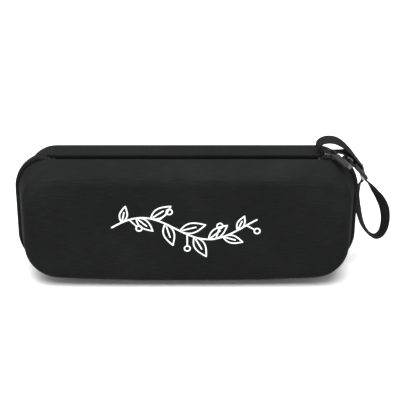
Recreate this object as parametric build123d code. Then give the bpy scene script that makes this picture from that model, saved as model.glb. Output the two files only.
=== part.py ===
from build123d import *
import os
from math import acos, asin, atan2, ceil, cos, degrees, pi, radians, sin, sqrt, tan

os.makedirs("parts", exist_ok=True)

# Stethoscope hard case: two moulded foam halves joined by a fabric hinge along the top edge and
# by a two-slider zip along the other three.  It stands on its long zip edge, as it is shown.
# X runs along the case, -Y is the front of the lid, Z is up.  Z = 0 is the flat of the lower edge,
# X = 0 the middle of the case and Y = 0 the plane of the zip.  Millimetres.
#
# `grow` below is a distance outward from the lip line of the halves, `run` one away from the seam.

# outline of the halves at their lips
half_length = 142.0
half_height = 52.0
hinge_corner = 27.0
foot_corner = 31.0
bow_rise = 4.0
bow_flat = 55.0
bow_radius = 1500.0

# moulded halves
seam_gap = 9.0
shell_depth = 32.5
end_draft = 12.0
side_draft = 5.5
face_round = 8.0
shell_wall = 4.0
lining_thickness = 0.8

# zip
tape_thickness = 0.7
tape_proud = 3.1
tape_half_width = 3.6
tape_foot = 6.0
tooth_thickness = 2.2
tooth_length = 2.8
tooth_overlap = 0.8
tooth_pitch = 2.4
tooth_root_width = 1.2
tooth_tip_width = 0.8
open_tooth_tip = 1.1
binding_thickness = 0.8
binding_width = 8.0
zip_end_reach = 5.0
stop_length = 2.2
stop_height = 0.9

# fabric hinge
hinge_rise = 4.0
hinge_groove = 1.5
strip_margin = 0.3

# sliders
slider_length = 10.0
slider_half_width = 4.7
slider_plate = 1.2
slider_clearance = 0.3
post_width = 1.3
post_length = 2.6
crown_length = 5.8
crown_width = 1.2
crown_height = 2.8
crown_bar = 0.8
link_wire = 1.0
link_near_width = 7.2
link_far_width = 3.2
link_length = 9.0
grip_length = 16.0
grip_width = 7.2
grip_tip_width = 5.0
grip_thickness = 2.6
front_slider_angle = 9.0
corner_slider_angle = 42.0
front_pull_turn = 58.0
front_pull_dip = 5.0
corner_pull_drop = 6.0

# wrist strap
strap_width = 10.0
strap_thickness = 1.3
strap_gap = 0.2
clamp_x = 149.6
clamp_z = 88.4
clamp_lean = 16.0
clamp_length = 9.0
clamp_wall = 0.8
clamp_slack = 0.15

# inside
net_inset = 5.0
net_thickness = 0.8
net_columns = 22
net_rows = 8
net_hole_share = 0.62
net_height_share = 0.62
net_border = 6.0
net_band_height = 9.0
net_band_thickness = 1.6
tie_width = 25.0
tie_thickness = 1.2
tie_reach = 38.0
tie_overlap = 36.0
tie_ramp = 5.0
seat_gap = 0.2

lip = seam_gap / 2
centre_z = tape_proud + half_height
hinge_line_z = centre_z + half_height
hinge_axis_z = hinge_line_z + hinge_rise
corner_x = half_length - hinge_corner
corner_z = hinge_line_z - hinge_corner
inner_grow = -shell_wall - lining_thickness
tape_inner = inner_grow - tape_thickness
tooth_floor = tape_proud - tooth_thickness
tooth_root = tooth_length - tooth_overlap
zip_end_x = corner_x - zip_end_reach


def side_plane(y):
    """The plane across the case at y, with its own axes along X and Z."""
    return Plane(origin=(0, y, 0), x_dir=(1, 0, 0), z_dir=(0, -1, 0))


def outline_wire(y, grow=0.0):
    """The case's outline at y: drafted beyond its lip, `grow` outside the moulded surface."""
    run = max(abs(y) - lip, 0.0)
    inset = run * tan(radians(side_draft))
    half_x = half_length - run * tan(radians(end_draft)) + grow
    half_z = half_height - inset + grow
    top = centre_z + half_z
    foot = centre_z - half_z
    corners = [
        (-half_x, top),
        (half_x, top),
        (half_x, foot + bow_rise),
        (bow_flat, foot),
        (-bow_flat, foot),
        (-half_x, foot + bow_rise),
    ]
    top_radius = hinge_corner - inset + grow
    foot_radius = foot_corner - inset + grow
    radii = [top_radius, top_radius, foot_radius, bow_radius, bow_radius, foot_radius]
    return side_plane(y) * FilletPolyline(*corners, radius=radii, close=True)


def outline(y, grow=0.0):
    return make_face(outline_wire(y, grow))


def drafted(y_start, y_end, grow=0.0):
    """Solid of the case's outline between two planes on one side of the seam."""
    return loft([outline(y_start, grow), outline(y_end, grow)], ruled=True)


def ring(y_start, y_end, grow_out, grow_in):
    """Band that follows the outline all round, between two distances from the moulded surface."""
    return drafted(y_start, y_end, grow_out) - drafted(y_start, y_end, grow_in)


def bowl(grow, depth):
    """Half of the case as one solid: from its lip back to its rounded face, on the base's side."""
    body = drafted(lip, lip + depth, grow)
    face_edge = body.faces().sort_by(Axis.Y)[-1].edges()
    return fillet(face_edge, face_round + grow)


def block(x_range, y_range, z_range):
    """Box between two corners, each given as a range along one axis."""
    size = [high - low for low, high in (x_range, y_range, z_range)]
    middle = [(high + low) / 2 for low, high in (x_range, y_range, z_range)]
    return Pos(*middle) * Box(*size)


def on_lid(part):
    """The lid's copy of a base piece: the two halves are mirror images across the zip."""
    return mirror(part, about=Plane.XZ)


reach = half_length + face_round
tall = hinge_axis_z + face_round
below_corners = block((-reach, reach), (-reach, reach), (-face_round, corner_z))
hinge_zone = block((-zip_end_x + strip_margin, zip_end_x - strip_margin), (-reach, reach), (corner_z, tall))
right_corner = block((zip_end_x, reach), (-reach, reach), (corner_z, tall))
left_corner = block((-reach, -zip_end_x), (-reach, reach), (corner_z, tall))


# ---- moulded halves and their lining ----

def make_shell():
    """Moulded foam half, open at the seam."""
    return bowl(0.0, shell_depth) - bowl(-shell_wall, shell_depth - shell_wall)


def make_lining():
    """Lining bonded to the inside of a half, from the lip to its floor."""
    outer = bowl(-shell_wall, shell_depth - shell_wall)
    return outer - bowl(inner_grow, shell_depth + inner_grow)


def make_binding():
    """Bias tape that covers the sewn foot of the zip and hinge tapes, all round the inside."""
    start = tape_half_width
    flat = ring(start, lip, tape_inner, tape_inner - binding_thickness)
    sloped = ring(lip, lip + binding_width, tape_inner, tape_inner - binding_thickness)
    return flat + sloped


# ---- zip ----

def make_tape_ring():
    """One zip tape: edge beside the teeth, fold over the seam, wall and sewn foot inside the lip."""
    fold = tape_half_width - tape_thickness
    edge = ring(tooth_root, tape_half_width, tape_proud, tape_proud - tape_thickness)
    wall = ring(fold, tape_half_width, tape_proud, tape_inner)
    neck = ring(fold, lip, inner_grow, tape_inner)
    foot = ring(lip, lip + tape_foot, inner_grow, tape_inner)
    return edge + wall + neck + foot


def make_tooth(tip):
    """One moulded tooth on the base side: its root at the tape's edge, its nose towards the lid.
    Local X runs along the tape and local Z points outward."""
    half_root = tooth_root_width / 2
    half_tip = tooth_tip_width / 2
    corners = [(-half_root, tooth_root), (half_root, tooth_root), (half_tip, tip), (-half_tip, tip)]
    return extrude(make_face(Polyline(*corners, close=True)), amount=tooth_thickness)


def track_wire(grow):
    """The zip's path at `grow`, in the plane of the seam."""
    return outline_wire(0.0, grow)


def point_on(path, distance):
    return path.position_at(distance, position_mode=PositionMode.LENGTH)


def place_on_track(path, distance):
    """Location on the path with X along it and Z away from the case."""
    point = point_on(path, distance)
    along = path.tangent_at(distance, position_mode=PositionMode.LENGTH)
    outward = along.cross(Vector(0, 1, 0)).normalized()
    if outward.dot(point - Vector(0, 0, centre_z)) < 0:
        outward = -outward
    return Plane(origin=point, x_dir=Vector(0, 1, 0).cross(outward), z_dir=outward).location


def foot_distance(path):
    """How far along the path the middle of the lower edge lies, by halving the step."""
    step = path.length / 64
    distance = min((index * step for index in range(64)),
                   key=lambda at: abs(point_on(path, at).X) + point_on(path, at).Z)
    while step > 1e-6:
        nearest = min((distance - step, distance, distance + step), key=lambda at: abs(point_on(path, at).X))
        step = step / 2 if nearest == distance else step
        distance = nearest
    return distance


def tooth_places(zone):
    """Places of the base's teeth and, half a pitch on, of the lid's, that lie inside a zone.
    A base tooth stands at the middle of the lower edge."""
    path = track_wire(tooth_floor)
    count = round(path.length / tooth_pitch)
    half_pitch = path.length / count / 2
    start = foot_distance(path)
    margin = tooth_root_width / 2
    places = ([], [])
    for step in range(2 * count):
        place = place_on_track(path, (start + step * half_pitch) % path.length)
        if zone(place.position, margin):
            places[step % 2].append(place)
    return places


def in_lower_zone(point, margin):
    return point.Z < corner_z - margin


def in_corner_zone(point, margin):
    return point.Z > corner_z + margin and abs(point.X) > zip_end_x + margin


def teeth_group(places, tip, mirrored):
    tooth = make_tooth(tip)
    if mirrored:
        tooth = on_lid(tooth)
    return Compound([place * tooth for place in places])


def make_zip_end(tape, side, tip):
    """Closed end of the zip round one hinge corner: both tapes with their teeth."""
    corner = right_corner if side > 0 else left_corner
    base_places, lid_places = tooth_places(in_corner_zone)
    own = [place for place in base_places if place.position.X * side > 0]
    opposite = [place for place in lid_places if place.position.X * side > 0]
    base_teeth = teeth_group(own, tip, False)
    lid_teeth = teeth_group(opposite, tip, True)
    tapes = [tape & corner, on_lid(tape) & corner]
    return Compound([*solids_of(tapes), *base_teeth.solids(), *lid_teeth.solids()])


def make_zip_stop(side):
    """Crimped stop across both tapes where the zip ends, at the edge of the fabric hinge."""
    centre = side * (zip_end_x + stop_length / 2 + strip_margin)
    floor_z = hinge_line_z + tape_proud
    spread = tape_half_width - tape_thickness / 2
    body = block((centre - stop_length / 2, centre + stop_length / 2), (-spread, spread),
                 (floor_z, floor_z + stop_height))
    return fillet(body.edges().filter_by(Axis.X).group_by(Axis.Z)[-1], stop_height / 2)



# ---- fabric hinge ----

def make_hinge_strip():
    """Strip that joins the halves along the top: sewn inside both lips, with a sunk web between."""
    web_top = -hinge_groove
    fold = tape_half_width - tape_thickness
    half = ring(fold, tape_half_width, web_top, tape_inner) + ring(fold, lip, inner_grow, tape_inner)
    half = half + ring(lip, lip + tape_foot, inner_grow, tape_inner)
    half = half & hinge_zone
    web = ring(-fold, fold, web_top, web_top - tape_thickness) & hinge_zone
    return half + web + on_lid(half)


# ---- sliders and pullers ----

def corner_frame(angle, distance):
    """Frame on the right hinge corner's arc: X along the zip towards the end of the case,
    Y across the zip, Z outward.  The angle is measured from straight up."""
    turn = radians(angle)
    origin = (corner_x + distance * sin(turn), 0, corner_z + distance * cos(turn))
    return Plane(origin=origin, x_dir=(cos(turn), 0, -sin(turn)), z_dir=(sin(turn), 0, cos(turn)))


def make_slider(nose):
    """Slider body, modelled at the lip line: two plates joined by the post that parts the chains,
    skirts down both sides of the top plate, and the crown that holds the puller's link.
    nose is +1 or -1: the end of the slider that the post stands at."""
    half = slider_length / 2
    plate_floor = tape_proud + slider_clearance
    plate_top = plate_floor + slider_plate
    sagitta = half ** 2 / (2 * (hinge_corner + tooth_floor))
    inner_top = tooth_floor - sagitta - slider_clearance
    inner_floor = inner_top - slider_plate
    inner_half = tape_half_width - tape_thickness - 2 * slider_clearance
    skirt_inner = tape_half_width + slider_clearance
    shoulder = slider_half_width - slider_plate / 2
    outline_top = [
        (-half * nose, shoulder),
        (half * nose / 2, slider_half_width),
        (half * nose, shoulder),
        (half * nose, -shoulder),
        (half * nose / 2, -slider_half_width),
        (-half * nose, -shoulder),
    ]
    skirt_floor = slider_clearance
    solid_top = Pos(0, 0, skirt_floor) * extrude(
        make_face(Polyline(*outline_top, close=True)), amount=plate_top - skirt_floor)
    channel = block((-half - 1, half + 1), (-skirt_inner, skirt_inner), (skirt_floor - 1, plate_floor))
    top = fillet((solid_top - channel).faces().sort_by(Axis.Z)[-1].edges(), slider_plate / 2)
    inner = block((-half, half), (-inner_half, inner_half), (inner_floor, inner_top))
    inner = fillet(inner.edges().filter_by(Axis.Z), slider_plate)
    post_start = half - post_length
    post_range = sorted((post_start * nose, (half - slider_plate / 2) * nose))
    post = block(post_range, (-post_width / 2, post_width / 2), (inner_floor, plate_top - slider_plate / 2))
    return top + inner + post + make_crown(plate_top)


def make_crown(plate_top):
    """Slim arch on the slider, with the long eye that the link's wire turns in."""
    half = crown_length / 2
    overlap = slider_plate / 2
    outer = block((-half, half), (-crown_width / 2, crown_width / 2),
                  (plate_top - overlap, plate_top + crown_height))
    outer = fillet(outer.edges().filter_by(Axis.Y).group_by(Axis.Z)[-1], crown_bar)
    eye = block((-half + crown_bar, half - crown_bar), (-crown_width, crown_width),
                (plate_top + slider_clearance / 2, plate_top + crown_height - crown_bar))
    return outer - eye


plate_top_level = tape_proud + slider_clearance + slider_plate
eye_level = plate_top_level + (crown_height - crown_bar + slider_clearance / 2) / 2


def make_link():
    """Wire loop from the crown's eye (at the local origin) to the grip, lying along local X."""
    near = link_near_width / 2
    far = link_far_width / 2
    corners = [(0, -near), (link_length, -far), (link_length, far), (0, near)]
    path = FilletPolyline(*corners, radius=link_wire * 0.9, close=True)
    start = Plane(origin=path @ 0, z_dir=path % 0)
    return sweep(start * Circle(link_wire / 2), path=path)


def make_grip():
    """Moulded puller grip: a tapering bar with rounded edges, whose head closes over the wire."""
    start = link_length - link_wire * 1.6
    end = start + grip_length
    corners = [
        (start, -grip_width / 2),
        (start, grip_width / 2),
        (end, grip_tip_width / 2),
        (end, -grip_tip_width / 2),
    ]
    flat = make_face(Polyline(*corners, close=True))
    body = Pos(0, 0, -grip_thickness / 2) * extrude(flat, amount=grip_thickness)
    body = fillet(body.edges().filter_by(Axis.Z), grip_thickness / 3)
    body = chamfer(body.faces().filter_by(Axis.Z).edges(), grip_thickness / 6)
    spread = (link_near_width - link_far_width) / 2 * (link_length - start) / link_length
    hollow_half = link_far_width / 2 + spread + link_wire / 2 + seat_gap
    wire_room = link_wire + 2 * seat_gap
    cavity = block((start - 1, link_length + wire_room / 2), (-hollow_half, hollow_half),
                   (-wire_room / 2, wire_room / 2))
    return body - cavity


def pull_frame_front():
    """Frame of the front puller: laid over the lid's edge, turned away from the zip's line."""
    base = corner_frame(front_slider_angle, hinge_corner + eye_level)
    return base.rotated((0, 0, -front_pull_turn)).rotated((0, front_pull_dip, 0))


def pull_frame_corner():
    """Frame of the corner puller: along the zip's line, dipping towards the end of the case."""
    base = corner_frame(corner_slider_angle, hinge_corner + eye_level)
    return base.rotated((0, corner_pull_drop, 0))


# ---- wrist strap ----

# Middle of the webbing: x, y, z and the turn of its width from the line across the case.
# The arch rises from the sewn foot and comes down to the clamp.
arch_stations = [
    (115.4, 10.0, 108.9, 5.5),
    (112.6, 10.0, 109.6, 4.0),
    (111.6, 10.0, 112.0, 2.0),
    (112.6, 10.0, 115.2, 0.0),
    (115.6, 10.0, 117.8, 0.0),
    (119.8, 10.0, 118.9, 0.0),
    (124.9, 10.0, 118.3, 0.0),
    (129.4, 10.0, 116.0, 0.0),
    (133.8, 10.0, 112.3, 0.0),
    (138.2, 10.0, 107.7, 0.0),
    (142.4, 10.0, 102.5, 0.0),
    (146.0, 10.0, 97.9, 0.0),
]

# The wrist loop hangs from the clamp: down its twisted outer leg and up the inner one.
loop_stations = [
    (154.8, 10.0, 78.2, -12.0),
    (159.2, 9.6, 72.4, -30.0),
    (164.0, 9.0, 65.0, -48.0),
    (168.4, 8.6, 56.0, -60.0),
    (171.0, 8.4, 46.6, -62.0),
    (170.6, 8.4, 37.2, -60.0),
    (167.2, 8.5, 30.2, -54.0),
    (162.0, 8.8, 29.2, -44.0),
    (156.8, 9.2, 34.4, -30.0),
    (153.0, 9.6, 42.6, -16.0),
    (150.8, 10.0, 52.0, -6.0),
    (149.6, 10.0, 61.0, 0.0),
    (149.2, 10.0, 70.0, 0.0),
    (149.6, 10.0, 77.4, 0.0),
]

# The tail runs back up from the clamp and lies along the base's upper wall to the same seam.
tail_stations = [
    (143.6, 10.0, 99.2, 0.0),
    (139.4, 10.0, 103.6, 1.5),
    (134.4, 10.0, 106.6, 3.5),
    (128.6, 10.0, 107.5, 5.5),
    (122.0, 10.0, 107.35, 5.5),
    (112.0, 10.0, 107.35, 5.5),
]


def clamp_frame():
    """Frame at the clamp's middle: X out of the webbing's face, Y across it, Z along it upward."""
    lean = radians(clamp_lean)
    middle = (clamp_x, arch_stations[-1][1], clamp_z)
    return Plane(origin=middle, x_dir=(cos(lean), 0, sin(lean)), z_dir=(-sin(lean), 0, cos(lean)))


def clamp_station(side, along):
    """Station of one layer in the clamp: side +1 for the outer layer, -1 for the inner one."""
    offset = side * (strap_thickness + strap_gap) / 2
    point = clamp_frame().from_local_coords(Vector(offset, 0, along))
    return (point.X, point.Y, point.Z, 0.0)


def strap_section(stations, index):
    """Cross-section of the webbing at one station, square to the way it runs."""
    points = [Vector(*station[:3]) for station in stations]
    along = points[min(index + 1, len(points) - 1)] - points[max(index - 1, 0)]
    across = Vector(0, 1, 0).rotate(Axis(origin=(0, 0, 0), direction=along), stations[index][3])
    across = across - along * (across.dot(along) / along.dot(along))
    plane = Plane(origin=points[index], x_dir=across, z_dir=along)
    return plane * Rectangle(strap_width, strap_thickness)


def make_band(stations):
    """Webbing through a run of stations."""
    return loft([strap_section(stations, index) for index in range(len(stations))], ruled=True)


def make_strap_arch():
    """The strap above the clamp: the arched outer layer and the tail that lies under it."""
    stand_off = clamp_length / 2 + strap_thickness
    arch = [*arch_stations, clamp_station(1, stand_off), clamp_station(1, 0)]
    tail = [clamp_station(-1, 0), clamp_station(-1, stand_off), *tail_stations]
    return Compound([make_band(arch), make_band(tail)])


def make_wrist_loop():
    """The strap below the clamp."""
    stand_off = -clamp_length / 2 - strap_thickness
    start = [clamp_station(1, 0), clamp_station(1, stand_off)]
    end = [clamp_station(-1, stand_off), clamp_station(-1, 0)]
    return make_band([*start, *loop_stations, *end])


def make_strap_clamp():
    """Metal clamp folded round both layers of the strap, with its joint on the side of the case."""
    inner_x = 2 * strap_thickness + strap_gap + 2 * clamp_slack
    inner_y = strap_width + 2 * clamp_slack
    sleeve = Box(inner_x + 2 * clamp_wall, inner_y + 2 * clamp_wall, clamp_length)
    sleeve = fillet(sleeve.edges().filter_by(Axis.Z), clamp_wall)
    joint = Pos(-inner_x / 2 - clamp_wall / 2, 0, 0) * Box(2 * clamp_wall, clamp_wall / 2, 2 * clamp_length)
    return clamp_frame().location * (sleeve - Box(inner_x, inner_y, 2 * clamp_length) - joint)


# ---- inside ----

net_grow = tape_inner - binding_thickness - seat_gap
net_low = centre_z - half_height - net_grow
net_top = centre_z - half_height + net_height_share * 2 * half_height
floor_y = lip + shell_depth + inner_grow


def net_sheet(z_range, thickness):
    """Flat sheet across the hollow at the net's depth, between two heights, on the base's side."""
    start = lip + net_inset
    sheet = drafted(start, start + thickness, net_grow)
    return sheet & block((-reach, reach), (0, reach), z_range)


def make_net():
    """Mesh pocket across the lower part of the hollow."""
    hem_floor = net_top - net_band_height
    width = 2 * (half_length - foot_corner)
    height = hem_floor - net_low - 2 * net_border
    step_x = width / net_columns
    step_z = height / net_rows
    hole = Box(step_x * net_hole_share, 4 * net_thickness, step_z * net_hole_share)
    middle = Pos(0, lip + net_inset, net_low + net_border + height / 2)
    rows = [((column + 0.5) * step_x - width / 2, 0, (row + 0.5) * step_z - height / 2)
            for column in range(net_columns) for row in range(net_rows)]
    holes = [middle * Pos(*place) * hole for place in rows]
    return net_sheet((0, hem_floor), net_thickness) - holes


def make_net_band():
    """Elastic hem along the pocket's mouth."""
    return net_sheet((net_top - net_band_height, net_top), net_band_thickness)


def make_tie(over):
    """Hook-and-loop strap laid on the base's floor from one long side to past the middle.
    The upper one rides over the lower one where they close on each other."""
    far = centre_z + tie_reach
    near = centre_z - tie_overlap / 2
    lift = tie_thickness + seat_gap if over else 0.0
    ramp_low = centre_z + tie_overlap / 2 + seat_gap
    ramp_high = ramp_low + tie_ramp
    line = [(floor_y, far), (floor_y, ramp_high), (floor_y - lift, ramp_low), (floor_y - lift, near)]
    upper = [(y - tie_thickness, z) for y, z in reversed(line)]
    profile = make_face(Polyline(*[(0, y, z) for y, z in line + upper], close=True))
    return extrude(profile, amount=tie_width / 2, dir=(1, 0, 0), both=True)


def solids_of(shapes):
    found = []
    for shape in shapes:
        found.extend(shape.solids())
    return found


def keep(name, shape):
    """Write one node's solids to its own file."""
    solids = shape.solids()
    whole = solids[0] if len(solids) == 1 else Compound(solids)
    export_step(whole, f"parts/{name}.step")


def keep_halves():
    """The pieces that both halves have, the lid's as mirror images of the base's."""
    tape = make_tape_ring()
    pieces = {
        "shell": make_shell(),
        "lining": make_lining(),
        "edge_binding": make_binding(),
        "zip_tape": tape & below_corners,
    }
    for name, piece in pieces.items():
        keep(f"base_{name}", piece)
        keep(f"lid_{name}", on_lid(piece))
    base_places, lid_places = tooth_places(in_lower_zone)
    keep("base_zip_teeth", teeth_group(base_places, -tooth_overlap, False))
    keep("lid_zip_teeth", teeth_group(lid_places, -tooth_overlap, True))
    keep("zip_end_right", make_zip_end(tape, 1, open_tooth_tip))
    keep("zip_end_left", make_zip_end(tape, -1, -tooth_overlap))


def keep_pulls():
    """Both sliders with their pullers."""
    link = make_link()
    grip = make_grip()
    settings = [
        ("front", front_slider_angle, 1, pull_frame_front()),
        ("corner", corner_slider_angle, -1, pull_frame_corner()),
    ]
    for name, angle, nose, pull_frame in settings:
        keep(f"{name}_slider", corner_frame(angle, hinge_corner).location * make_slider(nose))
        keep(f"{name}_pull_link", pull_frame.location * link)
        keep(f"{name}_pull_grip", pull_frame.location * grip)


keep_halves()
keep("hinge_strip", make_hinge_strip())
keep("zip_stop_right", make_zip_stop(1))
keep("zip_stop_left", make_zip_stop(-1))
keep_pulls()
keep("strap_arch", make_strap_arch())
keep("wrist_loop", make_wrist_loop())
keep("strap_clamp", make_strap_clamp())
keep("lid_net", on_lid(make_net()))
keep("lid_net_band", on_lid(make_net_band()))
tie = make_tie(False)
keep("tie_strap_lower", mirror(tie, about=Plane.XY.offset(centre_z)))
keep("tie_strap_upper", make_tie(True))
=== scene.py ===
import bmesh
import bpy
from math import acos, atan2, cos, degrees, pi, radians, sin, tan
from mathutils import Matrix, Vector


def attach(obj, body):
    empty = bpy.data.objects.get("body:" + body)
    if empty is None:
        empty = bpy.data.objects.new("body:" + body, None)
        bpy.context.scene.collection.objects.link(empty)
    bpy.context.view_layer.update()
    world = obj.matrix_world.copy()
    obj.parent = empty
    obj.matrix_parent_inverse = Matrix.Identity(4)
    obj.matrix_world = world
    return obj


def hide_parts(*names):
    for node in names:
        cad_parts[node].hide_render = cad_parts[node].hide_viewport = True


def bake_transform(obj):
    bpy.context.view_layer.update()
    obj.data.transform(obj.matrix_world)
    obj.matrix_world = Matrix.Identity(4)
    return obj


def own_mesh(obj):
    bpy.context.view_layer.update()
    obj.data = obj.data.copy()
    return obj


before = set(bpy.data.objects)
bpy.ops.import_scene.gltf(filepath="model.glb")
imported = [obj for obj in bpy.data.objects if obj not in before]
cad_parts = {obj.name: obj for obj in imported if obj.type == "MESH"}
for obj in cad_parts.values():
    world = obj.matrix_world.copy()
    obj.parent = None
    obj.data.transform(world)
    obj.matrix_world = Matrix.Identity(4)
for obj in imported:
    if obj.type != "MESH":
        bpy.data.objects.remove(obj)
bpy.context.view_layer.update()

# The case's own sizes in millimetres, as its solids have them.
MM = 0.001
HALF_LENGTH, HALF_HEIGHT = 142.0, 52.0
HINGE_CORNER, FOOT_CORNER = 27.0, 31.0
BOW_RISE, BOW_FLAT, BOW_RADIUS = 4.0, 55.0, 1500.0
LIP, DEPTH = 4.5, 32.5
END_DRAFT, SIDE_DRAFT = tan(radians(12.0)), tan(radians(5.5))
FACE_ROUND, WALL, LINING = 8.0, 4.0, 0.8
TAPE, PROUD, TAPE_EDGE, TAPE_FOOT = 0.7, 3.1, 3.6, 6.0
TOOTH_HIGH, TOOTH_LONG, TOOTH_LAP, PITCH = 2.2, 2.8, 0.8, 2.4
CENTRE_Z = PROUD + HALF_HEIGHT
HINGE_Z = CENTRE_Z + HALF_HEIGHT
CORNER_Z = HINGE_Z - HINGE_CORNER
ZIP_END_X = HALF_LENGTH - HINGE_CORNER - 5.0
INNER = -WALL - LINING
FLOOR_Y = LIP + DEPTH + INNER
STRAP_WIDE, STRAP_THICK = 10.0, 1.3

# Sizes that only the dressed case has: the hinge groove and the crowned faces, the zip's stops and how
# its ends sink to them, then the pocket and the tie straps.
GROOVE, CROWN = -3.5, 0.35
FACE_HALF_LONG = round(HALF_LENGTH - DEPTH * END_DRAFT - FACE_ROUND, 1)
FACE_HALF_HIGH = round(HALF_HEIGHT - DEPTH * SIDE_DRAFT - FACE_ROUND, 1)
STOP_LONG, STOP_HALF_WIDE, STOP_HIGH = 2.2, 3.2, 0.85
LEFT_RAMP, RIGHT_RAMP, PARTED_TIP, NEAR_HINGE = 16.0, 5.0, 1.1, 128.0
NET_Y, NET_GROW, NET_TOP, NET_BAND, BAND_THICK = 9.9, -6.5, 58.6, 9.0, 1.6
TIE_WIDE, TIE_THICK = 25.0, 1.2
TIE_FOOT, TIE_JOIN, TIE_HEAD, TIE_TIP = 17.1, 73.1, 93.1, 37.1
LAP_LIFT, LAP_START, LAP_END = 1.4, 78.3, 73.3

# The rows of tape_profile() that lie in the shadow between the tape and the lip; their faces are painted near
# black as that shade.
TAPE_SEAM = (4, 5, 6)


# ---- outline of the halves ----

def rounded_corner(before, corner, after, radius, steps):
    """Points of the arc that rounds a corner of the outline."""
    a, b = (before - corner).normalized(), (after - corner).normalized()
    half = acos(max(-1.0, min(1.0, a.dot(b)))) / 2
    start = corner + a * (radius / tan(half))
    end = corner + b * (radius / tan(half))
    centre = corner + (a + b).normalized() * (radius / sin(half))
    first, last = start - centre, end - centre
    sweep = pi - 2 * half
    arc = []
    for step in range(steps + 1):
        t = step / steps
        arc.append(centre + (first * sin((1 - t) * sweep) + last * sin(t * sweep)) / sin(sweep))
    return arc


def outline(y, grow, part="all"):
    """(x, z) points of the outline at y, going from the top's middle to the right and round."""
    run = max(abs(y) - LIP, 0.0)
    inset = run * SIDE_DRAFT
    half_x = HALF_LENGTH - run * END_DRAFT + grow
    half_z = HALF_HEIGHT - inset + grow
    top, foot = CENTRE_Z + half_z, CENTRE_Z - half_z
    top_radius = HINGE_CORNER - inset + grow
    foot_radius = FOOT_CORNER - inset + grow
    peak = Vector((half_x, top))
    heel = Vector((half_x, foot + BOW_RISE))
    bow = Vector((BOW_FLAT, foot))
    hip = rounded_corner(Vector((0, top)), peak, heel, top_radius, 16)
    corner = [Vector((ZIP_END_X, top)).lerp(hip[0], t / 4) for t in range(4)] + hip
    toe = rounded_corner(peak, heel, bow, foot_radius, 16)
    sole = rounded_corner(heel, bow, Vector((0, foot)), BOW_RADIUS, 6)
    wall = [hip[-1].lerp(toe[0], t / 6) for t in range(7)]
    slope = [toe[-1].lerp(sole[0], t / 4) for t in range(1, 4)]
    flat = [sole[-1].lerp(Vector((0, foot)), t / 4) for t in range(1, 5)]
    lower = wall + toe[1:] + slope + sole + flat
    other = [Vector((-p.x, p.y)) for p in reversed(lower[:-1])]
    left_corner = [Vector((-p.x, p.y)) for p in reversed(corner)]
    crest = [Vector((ZIP_END_X * (t / 8 - 1), top)) for t in range(17)]
    parts = {"top": crest, "right": corner, "lower": lower + other, "left": left_corner}
    if part in parts:
        return parts[part]
    return crest[8:-1] + corner[:-1] + lower + other[:-1] + left_corner[:-1] + crest[:8]


def ring(y, grow, part="all"):
    """Outline at y as points in metres."""
    return [Vector((p.x, y, p.y)) * MM for p in outline(y, grow, part)]


# ---- mesh building ----

def finish_mesh(name, mesh_bm, finish, smooth=True):
    """Object from a bmesh, with coordinates in metres unfolded onto it from its three main sides."""
    bmesh.ops.recalc_face_normals(mesh_bm, faces=mesh_bm.faces)
    unfolded = mesh_bm.loops.layers.uv.new("unfolded")
    for face in mesh_bm.faces:
        n = face.normal
        size = (abs(n.x), abs(n.y), abs(n.z))
        for loop in face.loops:
            co = loop.vert.co
            if size[1] >= size[0] and size[1] >= size[2]:
                loop[unfolded].uv = (co.x, co.z)
            elif size[2] >= size[0]:
                loop[unfolded].uv = (co.x, co.y)
            else:
                loop[unfolded].uv = (co.y, co.z)
        face.smooth = smooth
    mesh = bpy.data.meshes.new(name)
    mesh_bm.to_mesh(mesh)
    mesh_bm.free()
    obj = bpy.data.objects.new(name, mesh)
    bpy.context.scene.collection.objects.link(obj)
    mesh.materials.append(finish)
    return obj


def skin(bm, rows, wrap=False, loop=False, caps=False):
    """Faces over rows of points: wrap joins the ends of each row, loop joins the last row to the first."""
    verts = [[bm.verts.new(p) for p in row] for row in rows]
    row_count, width = len(verts), len(verts[0])
    for r in range(row_count if loop else row_count - 1):
        a, b = verts[r], verts[(r + 1) % row_count]
        for c in range(width if wrap else width - 1):
            d = (c + 1) % width
            bm.faces.new((a[c], a[d], b[d], b[c]))
    if caps:
        for c in (0, width - 1):
            bm.faces.new([row[c] for row in verts])
    return verts


def close_centre(bm, row, centre):
    """Fan of faces from a closed row to one point."""
    hub = bm.verts.new(centre)
    for c, vert in enumerate(row):
        bm.faces.new((vert, row[(c + 1) % len(row)], hub))


def sunk(p, ramp):
    """How far the zip's end sinks at a point in mm, from its full height down to the hinge groove."""
    share = min(max((abs(p.x) - ZIP_END_X) / ramp, 0.0), 1.0)
    return 1 - share * share * (3 - 2 * share)


def band(name, profile, part, finish, side=1, ramp=0.0, shaded=()):
    """A tape that follows the outline: profile is a closed list of (y, grow) points.

    With a ramp, its ends at the zip's stops sink to the hinge groove. The faces that follow the profile's
    shaded rows take a near-black cloth, which paints the shade where the lip shadows the tape.
    """
    bm = bmesh.new()
    rows = []
    for y, grow in profile:
        drop = max(grow - GROOVE, 0.0)
        row = outline(y, grow, part)
        rows.append([Vector((p.x, y, p.y - (drop * sunk(p, ramp) if ramp else 0.0))) * MM for p in row])
    if side < 0:
        rows = [[Vector((p.x, -p.y, p.z)) for p in row] for row in rows]
    skin(bm, rows, wrap=part == "all", loop=True, caps=part != "all")
    bm.faces.ensure_lookup_table()
    per_row = len(rows[0]) - (part != "all")
    # The shaded rows' faces take the near-black cloth: painted shade between the tape and the lip.
    for r in shaded:
        for face in bm.faces[r * per_row:(r + 1) * per_row]:
            face.material_index = 1
    obj = finish_mesh(name, bm, finish)
    if shaded:
        obj.data.materials.append(PAINTED_SHADE_CLOTH)
    return obj


# ---- shader sums ----

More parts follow.
